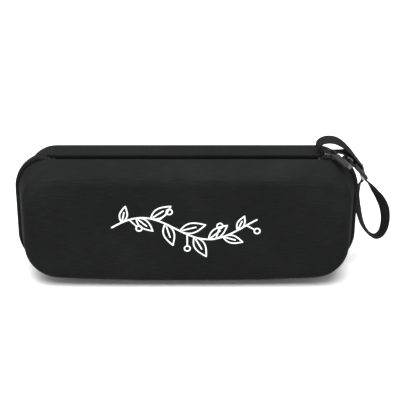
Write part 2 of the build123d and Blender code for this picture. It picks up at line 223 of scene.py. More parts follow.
class Value:
    """A shader value that can be added, multiplied and compared like a number."""

    def __init__(self, finish, socket):
        self.finish, self.socket = finish, socket

    def _sum(self, operation, first, second):
        return self.finish.add("ShaderNodeMath", {"operation": operation}, {0: first, 1: second})

    def __add__(self, other):
        return self._sum("ADD", self, other)

    def __radd__(self, other):
        return self._sum("ADD", other, self)

    def __sub__(self, other):
        return self._sum("SUBTRACT", self, other)

    def __rsub__(self, other):
        return self._sum("SUBTRACT", other, self)

    def __mul__(self, other):
        return self._sum("MULTIPLY", self, other)

    def __rmul__(self, other):
        return self._sum("MULTIPLY", other, self)

    def __lt__(self, other):
        return self._sum("LESS_THAN", self, other)


class Finish:
    """One surface finish, and the nodes that make it."""

    def __init__(self, name):
        self.material = bpy.data.materials.new(name)
        self.material.use_nodes = True
        self.tree = self.material.node_tree
        self.tree.nodes.clear()
        self.output = self.tree.nodes.new("ShaderNodeOutputMaterial")

    def add(self, kind, settings=None, inputs=None, out=0):
        node = self.tree.nodes.new(kind)
        for key, setting in (settings or {}).items():
            if key == "stops":
                ramp = node.color_ramp
                ramp.elements[0].position, ramp.elements[0].color = setting[0]
                ramp.elements[1].position, ramp.elements[1].color = setting[-1]
                for place, colour in setting[1:-1]:
                    ramp.elements.new(place).color = colour
            else:
                setattr(node, key, setting)
        for key, value in (inputs or {}).items():
            socket = node.inputs[key]
            if isinstance(value, Value):
                self.tree.links.new(value.socket, socket)
            else:
                socket.default_value = value
        return Value(self, node.outputs[out])

    def place(self, scale=(1, 1, 1), turn=0.0):
        """Unfolded coordinates in metres, times a scale."""
        spot = self.add("ShaderNodeTexCoord", out="UV")
        return self.add("ShaderNodeMapping", None,
                        {"Vector": spot, "Scale": scale, "Rotation": (0, 0, turn)})

    def noise(self, where, scale, detail=3.0, rough=0.55):
        return self.add("ShaderNodeTexNoise", None,
                        {"Vector": where, "Scale": scale, "Detail": detail, "Roughness": rough})

    def wave(self, where, scale, direction="X"):
        return self.add("ShaderNodeTexWave", {"bands_direction": direction, "wave_profile": "SIN"},
                        {"Vector": where, "Scale": scale}, out="Fac")

    def ramp(self, fac, *stops):
        return self.add("ShaderNodeValToRGB", {"stops": stops}, {"Fac": fac})

    def blend(self, fac, first, second):
        return self.add("ShaderNodeMix", {"data_type": "RGBA"},
                        {"Factor": fac, 6: first, 7: second}, out=2)

    def bump(self, height, depth, strength=1.0):
        return self.add("ShaderNodeBump", None, {"Height": height, "Distance": depth, "Strength": strength})

    def shade(self, **sockets):
        shader = self.add("ShaderNodeBsdfPrincipled", None,
                          {key.replace("_", " "): value for key, value in sockets.items()})
        self.tree.links.new(shader.socket, self.output.inputs["Surface"])
        return self.material


def grey(level, red=1.0, blue=1.0):
    """Linear colour of a grey given as it looks, 0 to 255, with its shares of red and blue."""
    value = ((level / 255 + 0.055) / 1.055) ** 2.4
    return (value * red, value, value * blue, 1.0)


def weave_height(finish, scale, turn=0.0):
    """Plain weave: threads that pass over and under each other."""
    where = finish.place((1, 1, 1), turn)
    over = finish.wave(where, scale, "X")
    under = finish.wave(where, scale, "Y")
    return over * under + (1 - over) * (1 - under) * 0.6


def woven_cover():
    """Fine melange weave bonded over the moulded foam."""
    f = Finish("woven_cover")
    weave = weave_height(f, 260.0)
    streak = f.noise(f.place((90, 1400, 1)), 1.0, 4.0, 0.6)
    cloud = f.noise(f.place(), 18.0, 3.0)
    speck = f.noise(f.place((900, 2600, 1)), 1.0, 2.0, 0.7)
    tone = streak * 0.35 + speck * 0.4 + cloud * 0.25
    dark, middle, light = (grey(level, 0.92, 0.95) for level in (17, 25, 38))
    colour = f.ramp(tone, (0.32, dark), (0.50, middle), (0.66, light))
    height = weave * 0.6 + streak * 0.4
    return f.shade(Base_Color=colour, Roughness=0.78 + cloud * 0.16, Normal=f.bump(height, 0.00012, 0.7),
                   Specular_IOR_Level=0.05)


def woven_tape():
    """Herringbone zip tape."""
    f = Finish("woven_tape")
    twill = f.wave(f.place((1, 1, 1), 0.7), 420.0)
    grain = f.noise(f.place((700, 700, 1)), 1.0, 2.0)
    colour = f.blend(twill * 0.5 + grain * 0.5, grey(14), grey(33, 0.96, 0.98))
    return f.shade(Base_Color=colour, Roughness=0.8 + grain * 0.1, Normal=f.bump(twill, 0.0001, 0.8),
                   Specular_IOR_Level=0.08)


def painted_shade_cloth():
    """Hinge cloth painted near black, as painted shade in the hinge groove and between the zip tape and the
    lip.
    """
    f = Finish("painted_shade_cloth")
    grain = f.noise(f.place((700, 700, 1)), 1.0, 2.0)
    colour = f.blend(grain, grey(6), grey(16))
    return f.shade(Base_Color=colour, Roughness=0.85 + grain * 0.1, Normal=f.bump(grain, 0.0001, 0.5),
                   Specular_IOR_Level=0.1)


def moulded_teeth():
    """Satin acetal of the teeth and stops."""
    f = Finish("moulded_teeth")
    grain = f.noise(f.place(), 900.0, 2.0)
    colour = f.blend(grain, grey(14), grey(26))
    return f.shade(Base_Color=colour, Roughness=0.34 + grain * 0.15, Normal=f.bump(grain, 0.00003, 0.5))


def gunmetal():
    """Plated zinc of the sliders, lighter on its sharp edges: rubbed bright by the fingers, and painted
    lighter there as glints.
    """
    f = Finish("gunmetal")
    cloud = f.noise(f.place(), 260.0, 4.0)
    scuff = f.noise(f.place((3000, 500, 1)), 1.0, 3.0, 0.7)
    # Lighter base colour on sharp edges: real rubbing wear, and painted glints on the dark metal.
    edge_wear_and_glints = f.ramp(f.add("ShaderNodeNewGeometry", out="Pointiness"), (0.5, (0, 0, 0, 1)), (0.58, (1, 1, 1, 1)))
    colour = f.blend(cloud * 0.25 + edge_wear_and_glints * 0.75, grey(14, 0.97, 1.02), grey(84))
    return f.shade(Base_Color=colour, Metallic=0.85, Roughness=0.16 + scuff * 0.18,
                   Normal=f.bump(scuff, 0.00002, 0.4))


def puller_rubber():
    """Matt moulded rubber of the pullers' grips."""
    f = Finish("puller_rubber")
    grain = f.noise(f.place(), 1100.0, 3.0)
    cloud = f.noise(f.place(), 120.0, 2.0)
    colour = f.blend(grain * 0.6 + cloud * 0.4, grey(22), grey(37))
    return f.shade(Base_Color=colour, Roughness=0.56 + grain * 0.2, Normal=f.bump(grain, 0.00004, 0.6),
                   Specular_IOR_Level=0.3)


def ribbed_webbing():
    """Wrist strap: ribbed weave with a firmer edge."""
    f = Finish("ribbed_webbing")
    where = f.add("ShaderNodeAttribute", {"attribute_name": "along"}, out="Vector")
    place = f.add("ShaderNodeMapping", None, {"Vector": where})
    ribs = f.wave(place, 330.0, "X")
    rows = f.wave(place, 300.0, "Y")
    fuzz = f.noise(place, 1600.0, 3.0, 0.7)
    tone = ribs * rows * 0.6 + fuzz * 0.4
    colour = f.ramp(tone, (0.1, grey(14)), (0.45, grey(26, 0.98, 0.98)), (0.9, grey(52, 0.98, 0.98)))
    return f.shade(Base_Color=colour, Roughness=0.78 + fuzz * 0.1, Normal=f.bump(tone, 0.00025, 0.9),
                   Specular_IOR_Level=0.1)


def bright_clamp():
    """Nickel-plated clamp with fine rolling marks."""
    f = Finish("bright_clamp")
    roll = f.noise(f.place((200, 4000, 1)), 1.0, 3.0, 0.6)
    colour = f.blend(roll, grey(104), grey(164, 1.01, 0.99))
    return f.shade(Base_Color=colour, Metallic=1.0, Roughness=0.2 + roll * 0.2,
                   Normal=f.bump(roll, 0.00002, 0.4))


def brushed_lining():
    """Brushed knit, with a nap that catches the light."""
    f = Finish("brushed_lining")
    nap = f.noise(f.place((500, 900, 1)), 1.0, 4.0, 0.7)
    cloud = f.noise(f.place(), 30.0, 3.0)
    colour = f.blend(nap * 0.6 + cloud * 0.4, grey(30), grey(52))
    return f.shade(Base_Color=colour, Roughness=0.88 + nap * 0.08, Normal=f.bump(nap, 0.0002, 0.6),
                   Specular_IOR_Level=0.25, Sheen_Weight=0.35, Sheen_Roughness=0.6)


def bias_tape():
    """Folded binding tape with a cross rib."""
    f = Finish("bias_tape")
    rib = f.wave(f.place(), 520.0, "X")
    fuzz = f.noise(f.place(), 900.0, 2.0)
    colour = f.blend(rib * 0.6 + fuzz * 0.4, grey(26), grey(50))
    return f.shade(Base_Color=colour, Roughness=0.8 + fuzz * 0.1, Normal=f.bump(rib, 0.00012, 0.8),
                   Specular_IOR_Level=0.3)


def pocket_mesh():
    """Knitted net: threads round small rounded holes."""
    f = Finish("pocket_mesh")
    where = f.place()
    cross = f.wave(where, 95.0, "X")
    down = f.wave(where, 95.0, "Y")
    thread = (cross * down) < 0.42
    fuzz = f.noise(where, 1400.0, 2.0)
    colour = f.blend(fuzz, grey(28), grey(56))
    return f.shade(Base_Color=colour, Roughness=0.75 + fuzz * 0.1, Alpha=thread,
                   Normal=f.bump(fuzz, 0.0001, 0.5))


def napped_strap():
    """Hook-and-loop strap."""
    f = Finish("napped_strap")
    nap = f.noise(f.place(), 1300.0, 4.0, 0.75)
    colour = f.blend(nap, grey(22), grey(58))
    return f.shade(Base_Color=colour, Roughness=0.9 + nap * 0.08, Normal=f.bump(nap, 0.0003, 0.9),
                   Sheen_Weight=0.4, Sheen_Roughness=0.6)


def white_print():
    """Screen print that sinks a little into the weave."""
    f = Finish("white_print")
    weave = weave_height(f, 260.0)
    wear = f.noise(f.place(), 420.0, 4.0, 0.6)
    colour = f.blend(f.ramp(wear, (0.35, (0, 0, 0, 1)), (0.5, (1, 1, 1, 1))), grey(240), grey(255))
    return f.shade(Base_Color=colour, Roughness=0.55 + wear * 0.15, Normal=f.bump(weave, 0.00008, 0.6))


def sewing_thread():
    """Twisted polyester thread."""
    f = Finish("sewing_thread")
    twist = f.wave(f.place((1, 1, 1), 0.6), 900.0)
    colour = f.blend(twist, grey(34), grey(74))
    return f.shade(Base_Color=colour, Roughness=0.6 + twist * 0.15, Normal=f.bump(twist, 0.00008, 0.7))


COVER, TAPE_CLOTH, TEETH, METAL = woven_cover(), woven_tape(), moulded_teeth(), gunmetal()
RUBBER, WEBBING, CLAMP, LINING_CLOTH = puller_rubber(), ribbed_webbing(), bright_clamp(), brushed_lining()
BIAS, NET, NAPPED, INK, THREAD = bias_tape(), pocket_mesh(), napped_strap(), white_print(), sewing_thread()
# Near-black cloth whose colour is painted shade: the hinge groove, and the tape's faces beside the lip.
PAINTED_SHADE_CLOTH = painted_shade_cloth()


# ---- moulded halves ----

def shell_profile():
    """(run, grow) from the inside of the lip, over the lip, along the wall to the face's edge."""
    lip_round = 0.9
    points = [(DEPTH - WALL - 3.0, -WALL), (DEPTH * 0.5, -WALL), (2.0, -WALL), (0.5, -WALL),
              (0.0, -WALL + 0.5)]
    points += [(lip_round * (1 - sin(a)), -lip_round * (1 - cos(a)))
               for a in map(radians, (90, 70, 50, 30, 15, 0))]
    points += [(DEPTH * t, 0.0) for t in (0.1, 0.25, 0.42, 0.58, 0.7)]
    start = DEPTH - FACE_ROUND
    points += [(start + FACE_ROUND * sin(a), -FACE_ROUND * (1 - cos(a)))
               for a in map(radians, (0, 12, 24, 36, 48, 60, 70, 78, 84, 90))]
    return points


def moulded_half(name, side):
    """Foam half with its cover wrapped over the lip, face a little crowned."""
    bm = bmesh.new()
    rows = [ring(LIP + run, grow) for run, grow in shell_profile()]
    rim = rows[-1]
    hub = Vector((0, (LIP + DEPTH) * MM, CENTRE_Z * MM))
    for share in (0.94, 0.85, 0.7, 0.5, 0.3, 0.12):
        lift = CROWN * MM * (1 - share ** 2)
        rows.append([hub + (p - hub) * share + Vector((0, lift, 0)) for p in rim])
    verts = skin(bm, rows, wrap=True)
    close_centre(bm, verts[-1], hub + Vector((0, CROWN * MM, 0)))
    floor_y = (LIP + DEPTH - WALL) * MM
    inner = [[Vector((p.x * share, floor_y, CENTRE_Z * MM + (p.z - CENTRE_Z * MM) * share)) for p in rows[0]]
             for share in (0.97, 0.6, 0.2)]
    inner_verts = skin(bm, inner, wrap=True)
    for c, vert in enumerate(verts[0]):
        d = (c + 1) % len(verts[0])
        bm.faces.new((vert, verts[0][d], inner_verts[0][d], inner_verts[0][c]))
    close_centre(bm, inner_verts[-1], Vector((0, floor_y, CENTRE_Z * MM)))
    if side < 0:
        bmesh.ops.scale(bm, vec=(1, -1, 1), verts=bm.verts)
    return finish_mesh(name, bm, COVER)


def lining_half(name, side):
    """Lining from under the binding down the wall and over the floor."""
    bm = bmesh.new()
    deep = DEPTH + INNER
    bend = 3.2
    profile = [(0.2, -WALL - 0.05), (0.2, INNER), (deep * 0.3, INNER), (deep * 0.6, INNER)]
    profile += [(deep - bend + bend * sin(a), INNER - bend * (1 - cos(a)))
                for a in map(radians, (0, 20, 40, 60, 75, 90))]
    rows = [ring(LIP + run, grow) for run, grow in profile]
    hub = Vector((0, (LIP + deep) * MM, CENTRE_Z * MM))
    rim = rows[-1]
    for share in (0.9, 0.7, 0.45, 0.2):
        rows.append([hub + (p - hub) * share for p in rim])
    verts = skin(bm, rows, wrap=True)
    close_centre(bm, verts[-1], hub)
    if side < 0:
        bmesh.ops.scale(bm, vec=(1, -1, 1), verts=bm.verts)
    return finish_mesh(name, bm, LINING_CLOTH)


def binding_profile():
    """Bias tape over the sewn feet: folded edges, a little full in its middle."""
    grow = INNER - TAPE
    return [(TAPE_EDGE + 0.1, grow - 0.05), (LIP, grow - 0.05), (LIP + 4.0, grow - 0.05), (LIP + 7.8, grow),
            (LIP + 8.0, grow - 0.35), (LIP + 7.6, grow - 0.75), (LIP + 4.0, grow - 0.85),
            (LIP, grow - 0.8), (TAPE_EDGE + 0.3, grow - 0.75), (TAPE_EDGE, grow - 0.35)]


def tape_profile():
    """Zip tape: rounded fold beside the teeth, wall over the lip and sewn foot inside."""
    root = TOOTH_LONG - TOOTH_LAP
    fold = TAPE_EDGE - TAPE
    outer = [(root, PROUD - 0.05), (root + 0.7, PROUD - 0.1), (TAPE_EDGE - 0.35, PROUD - 0.55),
             (TAPE_EDGE + 0.05, PROUD - 1.4), (TAPE_EDGE + 0.25, 0.9), (TAPE_EDGE + 0.2, -1.0),
             (TAPE_EDGE, -3.0), (TAPE_EDGE + 0.25, INNER + 0.3), (LIP, INNER), (LIP + TAPE_FOOT, INNER)]
    inner = [(LIP + TAPE_FOOT, INNER - TAPE), (LIP, INNER - TAPE), (fold + 0.2, INNER - TAPE + 0.1),
             (fold, INNER), (fold, 0.0), (fold, PROUD - TAPE), (root, PROUD - TAPE)]
    return outer + inner


def hinge_profile():
    """Hinge fabric from inside the base's lip, down into the groove and up inside the lid's."""
    fold, top = TAPE_EDGE - TAPE, GROOVE
    outer = [(LIP + TAPE_FOOT, INNER), (LIP, INNER), (TAPE_EDGE + 0.3, INNER + 0.25), (TAPE_EDGE, -4.2),
             (TAPE_EDGE - 0.35, top - 0.05), (fold - 0.1, top), (1.6, top - 0.15), (0.5, top - 0.25)]
    inner = [(0.5, top - 0.25 - TAPE), (1.6, top - 0.15 - TAPE), (fold, top - 1.0), (fold + 0.2, INNER - 0.3),
             (LIP, INNER - TAPE), (LIP + TAPE_FOOT, INNER - TAPE)]
    far = [(-y, grow) for y, grow in reversed(outer)]
    back = [(-y, grow) for y, grow in reversed(inner)]
    return outer + far + back + inner


# ---- teeth ----

def track():
    """The zip's path at the teeth's floor, from the lower edge's middle, as points and distances."""
    loop = outline(0.0, PROUD - TOOTH_HIGH)
    lowest = min(range(len(loop)), key=lambda i: abs(loop[i].x) + loop[i].y)
    loop = loop[lowest:] + loop[:lowest] + [loop[lowest]]
    marks = [0.0]
    for a, b in zip(loop, loop[1:]):
        marks.append(marks[-1] + (b - a).length)
    return loop, marks


def tooth_spots(zone):
    """(point, along, outward) of the base's teeth and of the lid's, half a pitch on."""
    loop, marks = track()
    count = round(marks[-1] / PITCH)
    step = marks[-1] / count / 2
    spots = ([], [])
    leg = 0
    for i in range(2 * count):
        at = i * step
        while marks[leg + 1] < at:
            leg += 1
        t = (at - marks[leg]) / (marks[leg + 1] - marks[leg])
        point = loop[leg].lerp(loop[leg + 1], t)
        along = (loop[leg + 1] - loop[leg]).normalized()
        outward = Vector((-along.y, along.x))
        if outward.dot(point - Vector((0, CENTRE_Z))) < 0:
            outward = -outward
        if zone(point):
            spots[i % 2].append((point, along, outward))
    return spots


def teeth_row(name, spots, side, tip, ramp=0.0):
    """Moulded teeth: a broad root, a waist and a rounded nose that hooks between its neighbours."""
    root = TOOTH_LONG - TOOTH_LAP
    nose = min(tip + 0.55, root - 0.3)
    plan = [(-0.58, root), (-0.5, nose + 0.35), (-0.4, nose), (-0.42, tip + 0.2), (-0.2, tip),
            (0.2, tip), (0.42, tip + 0.2), (0.4, nose), (0.5, nose + 0.35), (0.58, root)]
    bm = bmesh.new()
    for point, along, outward in spots:
        layers = []
        for height, shrink in ((0.0, 0.88), (0.25, 1.0), (TOOTH_HIGH - 0.3, 1.0), (TOOTH_HIGH, 0.8)):
            flat = point + outward * height
            if ramp:
                flat.y -= sunk(point, ramp) * (PROUD - GROOVE)
            reach = along * shrink
            layers.append([Vector((flat.x + reach.x * u, side * y, flat.y + reach.y * u)) * MM
                           for u, y in plan])
        verts = skin(bm, layers, wrap=True)
        bm.faces.new(verts[0])
        bm.faces.new(verts[-1])
    return finish_mesh(name, bm, TEETH, smooth=False)


def zip_stop(name, hand, ramp):
    """Crimped stop across both tapes, where they go down into the hinge groove."""
    centre = Vector((hand * (ZIP_END_X + 1.4), HINGE_Z + PROUD - 0.1))
    floor_z = centre.y - sunk(centre, ramp) * (PROUD - GROOVE)
    edge, crest = STOP_HALF_WIDE, STOP_HALF_WIDE - 0.4
    profile = [(-edge, 0.0), (-edge, 0.5), (-crest, STOP_HIGH), (crest, STOP_HIGH), (edge, 0.5), (edge, 0.0)]
    end = STOP_LONG / 2
    bm = bmesh.new()
    rows = [[Vector((centre.x + x, y * shrink, floor_z + up * shrink)) * MM for y, up in profile]
            for x, shrink in ((-end, 0.8), (-end + 0.25, 1.0), (end - 0.25, 1.0), (end, 0.8))]
    verts = skin(bm, rows, wrap=True)
    bm.faces.new(verts[0])
    bm.faces.new(verts[-1])
    return finish_mesh(name, bm, TEETH)


def lower_zone(p):
    """Down both ends and along the foot, where the halves part with the sliders open."""
    return p.y < CORNER_Z


def right_zone(p):
    """Round the right hinge corner, from the stop to the lower zone."""
    return p.y >= CORNER_Z and p.x > ZIP_END_X + 0.6


def left_zone(p):
    """Round the left hinge corner, from the stop to the lower zone."""
    return p.y >= CORNER_Z and p.x < -ZIP_END_X - 0.6


# ---- stitching ----

def stitch_line(name, path, outward, length=2.4, gap=0.9, wide=0.42):
    """Run of lock stitches along a path: each a short raised thread that dips at both ends."""
    bm = bmesh.new()
    marks = [0.0]
    for a, b in zip(path, path[1:]):
        marks.append(marks[-1] + (b - a).length)

    def at(distance):
        leg = 0
        while leg < len(path) - 2 and marks[leg + 1] < distance:
            leg += 1
        t = (distance - marks[leg]) / max(marks[leg + 1] - marks[leg], 1e-9)
        return path[leg].lerp(path[leg + 1], min(t, 1.0))

    count = int(marks[-1] / ((length + gap) * MM))
    for i in range(count):
        start = (i * (length + gap) + gap / 2) * MM
        rows = []
        for share, lift in ((0.0, -0.12), (0.15, 0.1), (0.5, 0.2), (0.85, 0.1), (1.0, -0.12)):
            middle = at(start + share * length * MM)
            front = at(start + min(share + 0.1, 1.05) * length * MM)
            behind = at(start + (share - 0.1) * length * MM)
            ahead = (front - behind).normalized()
            out = outward(middle).normalized()
            side = ahead.cross(out).normalized()
            centre = middle + out * lift * MM
            rows.append([centre + (side * cos(a) + out * sin(a)) * wide / 2 * MM
                         for a in map(radians, (0, 60, 120, 180, 240, 300))])
        verts = skin(bm, rows, wrap=True)
        bm.faces.new(verts[0])
        bm.faces.new(verts[-1])
    return finish_mesh(name, bm, THREAD)


# ---- strap ----

# The strap's route, station by station: x, y and z in mm, and the webbing's twist in degrees.
ARCH = [(115.4, 10.0, 108.9, 5.5), (111.8, 10.0, 109.6, 6.0), (110.6, 10.0, 112.0, 10.0),
        (111.6, 10.0, 115.2, 14.0), (115.0, 10.0, 117.6, 17.0), (119.8, 10.0, 118.5, 18.0),
        (124.9, 10.0, 117.8, 17.0), (129.4, 10.0, 115.6, 14.0), (133.8, 10.0, 112.1, 10.0),
        (138.8, 10.0, 107.0, 5.4)]
FALL = [(142.4, 10.0, 102.5, 2.0), (146.0, 10.0, 97.9, 0.0)]
LOOP = [(157.2, 9.8, 77.2, -20.0), (161.7, 9.4, 71.0, -34.0), (166.6, 9.0, 64.1, -48.0),
        (170.5, 8.6, 55.7, -53.0), (172.2, 8.4, 46.5, -44.0), (171.9, 8.4, 37.7, -33.0),
        (169.4, 8.6, 30.2, -16.0), (164.8, 8.9, 27.0, 2.0), (160.2, 9.3, 29.0, 4.0),
        (156.0, 9.6, 33.8, -4.0), (152.4, 9.9, 40.6, -16.0), (149.6, 10.0, 49.4, -26.0),
        (147.3, 10.0, 58.8, -33.0), (146.0, 10.0, 67.4, -38.0), (147.2, 10.0, 76.0, -32.0)]
TAIL = [(142.5, 10.0, 97.6, -40.0), (139.2, 10.0, 102.5, -32.0), (134.4, 10.0, 106.4, -10.0),
        (128.6, 10.0, 107.5, 5.5), (122.0, 10.0, 107.35, 5.5), (112.0, 10.0, 107.35, 5.5)]
CLAMP_AT, CLAMP_LEAN, CLAMP_LONG = Vector((149.6, 10.0, 88.4)), radians(16.0), 9.0


def in_clamp(side, along):
    """Station of one layer of webbing in the clamp."""
    out = Vector((cos(CLAMP_LEAN), 0, sin(CLAMP_LEAN)))
    up = Vector((-sin(CLAMP_LEAN), 0, cos(CLAMP_LEAN)))
    p = CLAMP_AT + out * side * (STRAP_THICK + 0.2) / 2 + up * along
    return (p.x, p.y, p.z, 0.0)


def smooth_run(stations, steps=5):
    """Stations with points between them on a smooth curve through all of them."""
    points = [Vector(s) for s in stations]
    run = []
    for i in range(len(points) - 1):
        p0, p1 = points[max(i - 1, 0)], points[i]
        p2, p3 = points[i + 1], points[min(i + 2, len(points) - 1)]
        for s in range(steps):
            t = s / steps
            run.append(0.5 * (2 * p1 + (p2 - p0) * t + (2 * p0 - 5 * p1 + 4 * p2 - p3) * t ** 2
                              + (3 * p1 - p0 - 3 * p2 + p3) * t ** 3))
    run.append(points[-1])
    return run


def webbing(name, run):
    """Woven strap through a run of stations: round selvedges and a slightly full middle."""
    half, thick = STRAP_WIDE / 2, STRAP_THICK / 2
    section = [(-half, 0.0), (-half + 0.25, thick * 0.75), (-half + 0.9, thick * 0.95), (-2.4, thick * 0.86),
               (0, thick), (2.4, thick * 0.86), (half - 0.9, thick * 0.95), (half - 0.25, thick * 0.75),
               (half, 0.0)]
    section += [(u, -v) for u, v in reversed(section[1:-1])]
    rows, lengths, length = [], [], 0.0
    for i, station in enumerate(run):
        here = Vector(station[:3])
        ahead = Vector(run[min(i + 1, len(run) - 1)][:3]) - Vector(run[max(i - 1, 0)][:3])
        ahead.normalize()
        across = Matrix.Rotation(radians(station[3]), 3, ahead) @ Vector((0, 1, 0))
        across = (across - ahead * across.dot(ahead)).normalized()
        face = across.cross(ahead).normalized()
        rows.append([(here + across * u + face * v) * MM for u, v in section])
        if i:
            length += (here - Vector(run[i - 1][:3])).length
        lengths.append(length)
    bm = bmesh.new()
    verts = skin(bm, rows, wrap=True)
    bm.faces.new(verts[0])
    bm.faces.new(verts[-1])
    bm.verts.index_update()
    obj = finish_mesh(name, bm, WEBBING)
    along = obj.data.attributes.new("along", "FLOAT_VECTOR", "POINT")
    width = len(section)
    for r, distance in enumerate(lengths):
        for c, (u, _) in enumerate(section):
            along.data[r * width + c].vector = (distance * MM, u * MM, 0)
    return obj


def carry(node, finish, rounding=0.0):
    """Keep a CAD node, with its finish, and edges rounded by so many mm to catch the light."""
    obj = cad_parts[node]
    obj.data.materials.clear()
    obj.data.materials.append(finish)
    if rounding:
        bevel = obj.modifiers.new("rounded_edges", "BEVEL")
        bevel.width = rounding * MM
        bevel.segments = 2
        bevel.limit_method = "ANGLE"
        bevel.angle_limit = radians(35.0)
        bevel.harden_normals = False


# ---- pocket and ties inside ----

def half_width(z, y, grow):
    """Half the outline's width at a height, below its upper corners."""
    right = [p for p in outline(y, grow, "lower") if p.x >= 0]
    for high, low in zip(right, right[1:]):
        if low.y <= z <= high.y:
            t = (z - low.y) / max(high.y - low.y, 1e-6)
            return low.x + (high.x - low.x) * t
    return right[0].x if z > right[0].y else 0.0


def pocket_net():
    """Net pulled flat across the lid, a little full where hands have stretched it."""
    low = min(p.y for p in outline(NET_Y, NET_GROW)) + 0.05
    levels = [low + (NET_TOP - low) * (t / 24) ** 1.6 for t in range(25)]
    rows = []
    for z in levels:
        wide = half_width(z, NET_Y, NET_GROW)
        row = []
        for c in range(49):
            u = c / 24 - 1
            v = (z - low) / (NET_TOP - low)
            full = (1 - u * u) * sin(pi * v) * 0.35 + 0.12 * sin(7 * u + 2) * sin(pi * v)
            row.append(Vector((u * wide, -(NET_Y + full), z)) * MM)
        rows.append(row)
    bm = bmesh.new()
    skin(bm, rows)
    return finish_mesh("pocket_net", bm, NET)


def flat_strip(name, stations, half, thick, finish, across):
    """Flat strip through stations (point, facing, share of full width) with soft edges."""
    t = thick / 2
    section = [(-1.0, 0.0), (-0.985, t * 0.75), (-0.93, t), (-0.5, t * 0.92), (0, t), (0.5, t * 0.92),
               (0.93, t), (0.985, t * 0.75), (1.0, 0.0)]
    section += [(u, -v) for u, v in reversed(section[1:-1])]
    rows = [[(point + across * (u * half * share) + facing * v) * MM for u, v in section]
            for point, facing, share in stations]
    bm = bmesh.new()
    verts = skin(bm, rows, wrap=True)
    bm.faces.new(verts[0])
    bm.faces.new(verts[-1])
    return finish_mesh(name, bm, finish)


def pocket_band():
    """Elastic along the net's upper edge."""
    wide = half_width(NET_TOP + NET_BAND / 2, NET_Y, NET_GROW)
    facing = Vector((0, -1, 0))
    stations = []
    for c in range(81):
        u = c / 40 - 1
        pull = 0.1 * sin(u * 55) * (1 - u * u)
        middle = Vector((u * wide, -(NET_Y + 0.4 + pull), NET_TOP + NET_BAND / 2))
        stations.append((middle, facing, 1.0))
    return flat_strip("pocket_band", stations, NET_BAND / 2, BAND_THICK, BIAS, Vector((0, 0, 1)))


def tie_strap(name, levels):
    """Hook-and-loop strap lying on the base's floor, through (height, lift off the floor) levels."""
    facing = Vector((0, -1, 0))
    last = len(levels) - 1
    stations = []
    for i, (z, lift) in enumerate(levels):
        share = 1.0 if i < last - 2 else (1.0, 0.97, 0.86)[i - last + 2]
        stations.append((Vector((0, FLOOR_Y - lift - TIE_THICK / 2, z)), facing, share))
    return flat_strip(name, stations, TIE_WIDE / 2, TIE_THICK, NAPPED, Vector((1, 0, 0)))


def sewn_box(name, z_low, z_high, lift, body="base"):
    """Box of stitches with a cross in it, through a tie strap's sewn end."""
    y = (FLOOR_Y - lift - TIE_THICK - 0.02) * MM
    half = (TIE_WIDE / 2 - 2.5) * MM
    corners = [Vector((x, y, z)) for x, z in ((-half, z_low * MM), (half, z_low * MM), (half, z_high * MM),
                                             (-half, z_high * MM), (-half, z_low * MM), (half, z_high * MM))]
    line = stitch_line(name, corners, lambda p: Vector((0, -1, 0)))
    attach(line, body)


# ---- print on the lid ----

def face_point(x, z, rise):
    """Point on the lid's face, a little proud of its crown."""
    share = min(max(abs(x) / FACE_HALF_LONG, abs(z - CENTRE_Z) / FACE_HALF_HIGH), 1.0)
    return Vector((x, -(LIP + DEPTH + CROWN * (1 - share ** 2) + rise), z)) * MM


def stroke(bm, line, wide, rise):
    """One stroke of ink along a line of (x, z) points, with round ends."""
    points = [Vector(p) for p in line]
    left, right = [], []
    for i, p in enumerate(points):
        ahead = (points[min(i + 1, len(points) - 1)] - points[max(i - 1, 0)]).normalized()
        side = Vector((-ahead.y, ahead.x)) * wide / 2
        left.append(p + side)
        right.append(p - side)
    start = (points[1] - points[0]).normalized()
    end = (points[-1] - points[-2]).normalized()
    angles = [radians(d) for d in (60, 30, 0, -30, -60)]
    cap = [points[-1] + (end * cos(a) + Vector((-end.y, end.x)) * sin(a)) * wide / 2 for a in angles]
    heel = [points[0] - (start * cos(a) + Vector((start.y, -start.x)) * sin(a)) * wide / 2 for a in angles]
    for i in range(len(points) - 1):
        quad = (left[i], left[i + 1], right[i + 1], right[i])
        bm.faces.new([bm.verts.new(face_point(q.x, q.y, rise)) for q in quad])
    for rim, hub in (([left[-1], *cap, right[-1]], points[-1]), ([left[0], *heel, right[0]], points[0])):
        for a, b in zip(rim, rim[1:]):
            bm.faces.new([bm.verts.new(face_point(q.x, q.y, rise)) for q in (a, b, hub)])


def leaf(root, angle, long, wide):
    """Both edges of a pointed leaf and its short middle vein, as lines of points."""
    ahead = Vector((cos(radians(angle)), sin(radians(angle))))
    side = Vector((-ahead.y, ahead.x))
    lines = []
    for hand in (1, -1):
        lines.append([root + ahead * long * t / 14 + side * hand * wide / 2 * sin(pi * (t / 14) ** 0.85)
                      for t in range(15)])
    lines.append([root + ahead * long * (0.12 + 0.5 * t / 5) for t in range(6)])
    return lines


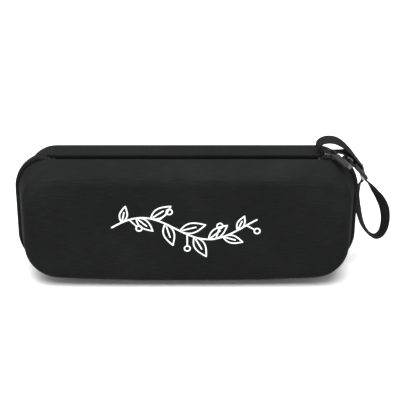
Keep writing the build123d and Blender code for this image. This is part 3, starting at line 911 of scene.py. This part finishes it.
def leafy_sprig():
    """Line drawing for the lid: a winding stem with pointed leaves and ringed buds."""
    def stem(t):
        x = -62.0 + 120.0 * t
        return Vector((x, 57.0 + 11.0 * sin(2 * pi * (t * 1.05 + 0.04)) + 4.0 * t))

    lines = [[stem(t / 60) for t in range(61)]]
    for i, t in enumerate((0.07, 0.17, 0.27, 0.37, 0.47, 0.57, 0.67, 0.77, 0.87)):
        ahead = stem(t + 0.01) - stem(t - 0.01)
        heading = degrees(atan2(ahead.y, ahead.x))
        hand = 1 if i % 2 == 0 else -1
        size = (15, 18, 20, 21, 22, 21, 20, 17, 14)[i]
        lines += leaf(stem(t), heading + hand * (52 - 2 * i), size, size * 0.42)
    for t, hand, length in ((0.12, -1, 9), (0.32, 1, 10), (0.52, -1, 11), (0.72, 1, 10), (0.93, -1, 8)):
        base = stem(t)
        ahead = (stem(t + 0.01) - stem(t - 0.01)).normalized()
        side = Vector((-ahead.y, ahead.x)) * hand
        tip = base + (ahead * 0.45 + side * 0.9).normalized() * length
        lines.append([base.lerp(tip, u / 4) for u in range(5)])
        centre = tip + (tip - base).normalized() * 2.4
        lines.append([centre + Vector((cos(a * pi / 12), sin(a * pi / 12))) * 2.4 for a in range(25)])
    bm = bmesh.new()
    for i, line in enumerate(lines):
        wide = 1.25 if i else 1.45
        stroke(bm, line, wide, 0.07 + 0.002 * i)
    return finish_mesh("lid_print", bm, INK)


# ---- put the case together ----

for half, side in (("base", 1), ("lid", -1)):
    shell = moulded_half(f"{half}_cover", side)
    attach(shell, half)
    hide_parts(f"{half}_shell")
    lining = lining_half(f"{half}_lining_cloth", side)
    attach(lining, half)
    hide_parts(f"{half}_lining")
    binding = band(f"{half}_binding_tape", binding_profile(), "all", BIAS, side)
    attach(binding, half)
    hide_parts(f"{half}_edge_binding")
    tape = band(f"{half}_tape", tape_profile(), "lower", TAPE_CLOTH, side, shaded=TAPE_SEAM)
    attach(tape, half)
    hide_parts(f"{half}_zip_tape")
    teeth = teeth_row(f"{half}_teeth", tooth_spots(lower_zone)[0 if side > 0 else 1], side, -TOOTH_LAP)
    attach(teeth, half)
    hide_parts(f"{half}_zip_teeth")

for end, zone, tip, ramp in (("right", right_zone, PARTED_TIP, RIGHT_RAMP),
                             ("left", left_zone, -TOOTH_LAP, LEFT_RAMP)):
    for half, side in (("base", 1), ("lid", -1)):
        tape = band(f"{end}_end_{half}_tape", tape_profile(), end, TAPE_CLOTH, side, ramp, TAPE_SEAM)
        spots = tooth_spots(zone)[0 if side > 0 else 1]
        by_hinge = [spot for spot in spots if abs(spot[0].x) < NEAR_HINGE]
        beyond = [spot for spot in spots if abs(spot[0].x) >= NEAR_HINGE]
        near_teeth = teeth_row(f"{end}_end_{half}_teeth", by_hinge, side, tip, ramp)
        far_teeth = teeth_row(f"{end}_corner_{half}_teeth", beyond, side, tip, ramp)
        for piece, slot in ((tape, "tape_fabric"), (near_teeth, "zip_teeth"), (far_teeth, "zip_teeth")):
            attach(piece, half)
            if (end, half) == ("right", "base") and piece is not far_teeth:
                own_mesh(piece)
    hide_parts(f"zip_end_{end}")
    stop = zip_stop(f"{end}_stop", 1 if end == "right" else -1, ramp)
    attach(stop, "base")
    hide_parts(f"zip_stop_{end}")

# The hinge cloth takes the near-black finish, which paints the shade of the deep groove.
hinge = band("hinge_cloth", hinge_profile(), "top", PAINTED_SHADE_CLOTH)
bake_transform(hinge)
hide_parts("hinge_strip")

print_lines = leafy_sprig()
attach(print_lines, "lid")

stand_off = CLAMP_LONG / 2 + STRAP_THICK
arch = webbing("strap_over_corner", smooth_run(ARCH))
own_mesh(arch)
fall = smooth_run([ARCH[-2], ARCH[-1], *FALL, in_clamp(1, stand_off), in_clamp(1, 0), in_clamp(1, -2)])
fall = webbing("strap_to_clamp", fall[5:-5])
tail = smooth_run([in_clamp(-1, -2), in_clamp(-1, 0), in_clamp(-1, stand_off), *TAIL])
tail = webbing("strap_tail", tail[5:])
loop = webbing("wrist_loop_webbing", smooth_run(
    [in_clamp(1, 0), in_clamp(1, -stand_off), *LOOP, in_clamp(-1, -stand_off), in_clamp(-1, 0)]))
for piece in (arch, fall, tail, loop):
    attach(piece, "base")
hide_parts("strap_arch")
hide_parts("wrist_loop")

carry("strap_clamp", CLAMP, 0.15)
for name in ("front", "corner"):
    carry(f"{name}_slider", METAL, 0.12)
    carry(f"{name}_pull_link", METAL)
    carry(f"{name}_pull_grip", RUBBER, 0.12)
net = pocket_net()
net_band = pocket_band()
lower_levels = [(TIE_FOOT + (TIE_JOIN - TIE_FOOT) * t / 20, 0.0) for t in range(19)]
lower_levels += [(TIE_JOIN - 1.6, 0.0), (TIE_JOIN - 0.5, 0.0), (TIE_JOIN, 0.0)]
lower_tie = tie_strap("lower_tie", lower_levels)
upper_levels = [(TIE_HEAD, 0.0), (88.0, 0.0), (82.0, 0.0), (LAP_START, 0.0), (76.8, LAP_LIFT * 0.25),
                (75.0, LAP_LIFT * 0.75), (LAP_END, LAP_LIFT)]
upper_levels += [(LAP_END - 34.0 * t / 16, LAP_LIFT) for t in range(1, 17)]
upper_levels += [(TIE_TIP + 1.3, LAP_LIFT), (TIE_TIP + 0.4, LAP_LIFT), (TIE_TIP, LAP_LIFT)]
upper_tie = tie_strap("upper_tie", upper_levels)
for piece, body, node, slot in ((net, "lid", "lid_net", "mesh"), (net_band, "lid", "lid_net_band", "elastic"),
                                (lower_tie, "base", "tie_strap_lower", "hook_and_loop"),
                                (upper_tie, "base", "tie_strap_upper", "hook_and_loop")):
    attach(piece, body)
    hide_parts(node)

sewn_box("lower_tie_stitches", 19.0, 31.0, 0.0)
sewn_box("upper_tie_stitches", 80.5, 91.0, 0.0)
hem_y = LIP + 6.4
for half, side in (("base", 1), ("lid", -1)):
    hem = [Vector((p.x, side * hem_y, p.y)) * MM for p in outline(hem_y, INNER - TAPE - 0.84)]
    seam = stitch_line(f"{half}_binding_stitches", hem + [hem[0]],
                       lambda p: Vector((-p.x, 0, CENTRE_Z * MM - p.z)))
    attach(seam, half)
band_half = half_width(NET_TOP + 5.0, NET_Y, NET_GROW) - 1.5
for label, z in (("low", NET_TOP + 1.6), ("high", NET_TOP + NET_BAND - 1.6)):
    for face, y in (("front", NET_Y + 0.4 + BAND_THICK / 2), ("back", NET_Y + 0.4 - BAND_THICK / 2)):
        hand = -1 if face == "front" else 1
        line = [Vector((band_half * (t / 20 - 1), -y, z)) * MM for t in range(41)]
        seam = stitch_line(f"pocket_band_{label}_{face}_stitches", line, lambda p, h=hand: Vector((0, h, 0)))
        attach(seam, "lid")


# ---- floor, light and camera ----

def floor_finish():
    """Pale floor that stays white to the eye, still takes the case's shadow, and fades out far away."""
    f = Finish("pale_floor")
    path = f.add("ShaderNodeLightPath", out="Is Camera Ray")
    glossy = f.add("ShaderNodeLightPath", out="Is Glossy Ray")
    grain = f.noise(f.place(), 30.0, 2.0)
    colour = f.blend(grain, (0.62, 0.62, 0.62, 1), (0.66, 0.66, 0.66, 1))
    paper = f.add("ShaderNodeBsdfDiffuse", None, {"Color": colour})
    bright = f.add("ShaderNodeBsdfDiffuse", None, {"Color": (1, 1, 1, 1)})
    seen = f.add("ShaderNodeMixShader", None, {0: path + glossy, 1: paper, 2: bright})
    spot = f.add("ShaderNodeTexCoord", out="Object")
    away = f.add("ShaderNodeVectorMath", {"operation": "LENGTH"}, {0: spot}, out="Value")
    far = f.ramp(away * 0.5, (0.3, (0, 0, 0, 1)), (0.6, (1, 1, 1, 1)))
    clear = f.add("ShaderNodeBsdfTransparent")
    fading = f.add("ShaderNodeMixShader", None, {0: far * path, 1: seen, 2: clear})
    f.tree.links.new(fading.socket, f.output.inputs["Surface"])
    return f.material


floor_bm = bmesh.new()
skin(floor_bm, [[Vector((x, y, 0)) for x in (-6, 6)] for y in (-6, 6)])
floor = finish_mesh("floor", floor_bm, floor_finish())

# The camera sees plain white behind the case, which a weaker sky lights.
world = bpy.data.worlds.new("studio")
bpy.context.scene.world = world
world.use_nodes = True
nodes, links = world.node_tree.nodes, world.node_tree.links
nodes.clear()
sky = nodes.new("ShaderNodeBackground")
sky.inputs["Color"].default_value = (1, 1, 1, 1)
sky.inputs["Strength"].default_value = 0.26
white = nodes.new("ShaderNodeBackground")
white.inputs["Color"].default_value = (1, 1, 1, 1)
white.inputs["Strength"].default_value = 1.0
seen = nodes.new("ShaderNodeLightPath")
chosen = nodes.new("ShaderNodeMixShader")
world_out = nodes.new("ShaderNodeOutputWorld")
links.new(seen.outputs["Is Camera Ray"], chosen.inputs[0])
links.new(sky.outputs[0], chosen.inputs[1])
links.new(white.outputs[0], chosen.inputs[2])
links.new(chosen.outputs[0], world_out.inputs[0])


def lamp(name, place, aim, size, power):
    """Square soft light at a place, turned to a point."""
    data = bpy.data.lights.new(name, "AREA")
    data.shape = "RECTANGLE"
    data.size, data.size_y = size
    data.energy = power
    obj = bpy.data.objects.new(name, data)
    obj.location = place
    obj.rotation_euler = (Vector(aim) - Vector(place)).to_track_quat("-Z", "Y").to_euler()
    bpy.context.scene.collection.objects.link(obj)


lamp("key_box", (-0.1, -0.5, 1.35), (0, 0, 0.05), (1.6, 1.2), 40.0)
lamp("front_box", (0.0, -1.6, 0.8), (0, 0, 0.05), (1.4, 0.6), 5.2)
lamp("rear_box", (0.0, 0.7, 1.1), (0, 0, 0.05), (1.4, 0.6), 8.0)
lamp("left_box", (-1.1, -0.1, 0.5), (0, 0, 0.05), (0.4, 0.8), 1.0)
lamp("right_box", (1.1, 0.0, 0.5), (0, 0, 0.05), (0.4, 0.8), 1.2)

# The camera as it stands in the photo, and the pixel on which the middle of the case falls.
FOCAL_PX, DISTANCE, TILT = 1224.0, 1.05, radians(27.0)
PICTURE_PX, AIM_X_PX, AIM_Y_PX = 400, 186.64, 212.1
data = bpy.data.cameras.new("camera")
data.sensor_width = 36.0
data.lens = FOCAL_PX / PICTURE_PX * data.sensor_width
data.shift_x = (PICTURE_PX / 2 - AIM_X_PX) / PICTURE_PX
data.shift_y = (AIM_Y_PX - PICTURE_PX / 2) / PICTURE_PX
data.clip_start, data.clip_end = 0.05, 20.0
camera = bpy.data.objects.new("camera", data)
aim = Vector((0, 0, CENTRE_Z * MM))
camera.location = aim + Vector((0, -cos(TILT), sin(TILT))) * DISTANCE
camera.rotation_euler = (aim - camera.location).to_track_quat("-Z", "Y").to_euler()
bpy.context.scene.collection.objects.link(camera)
bpy.context.scene.camera = camera
bpy.context.scene.view_settings.view_transform = "Standard"
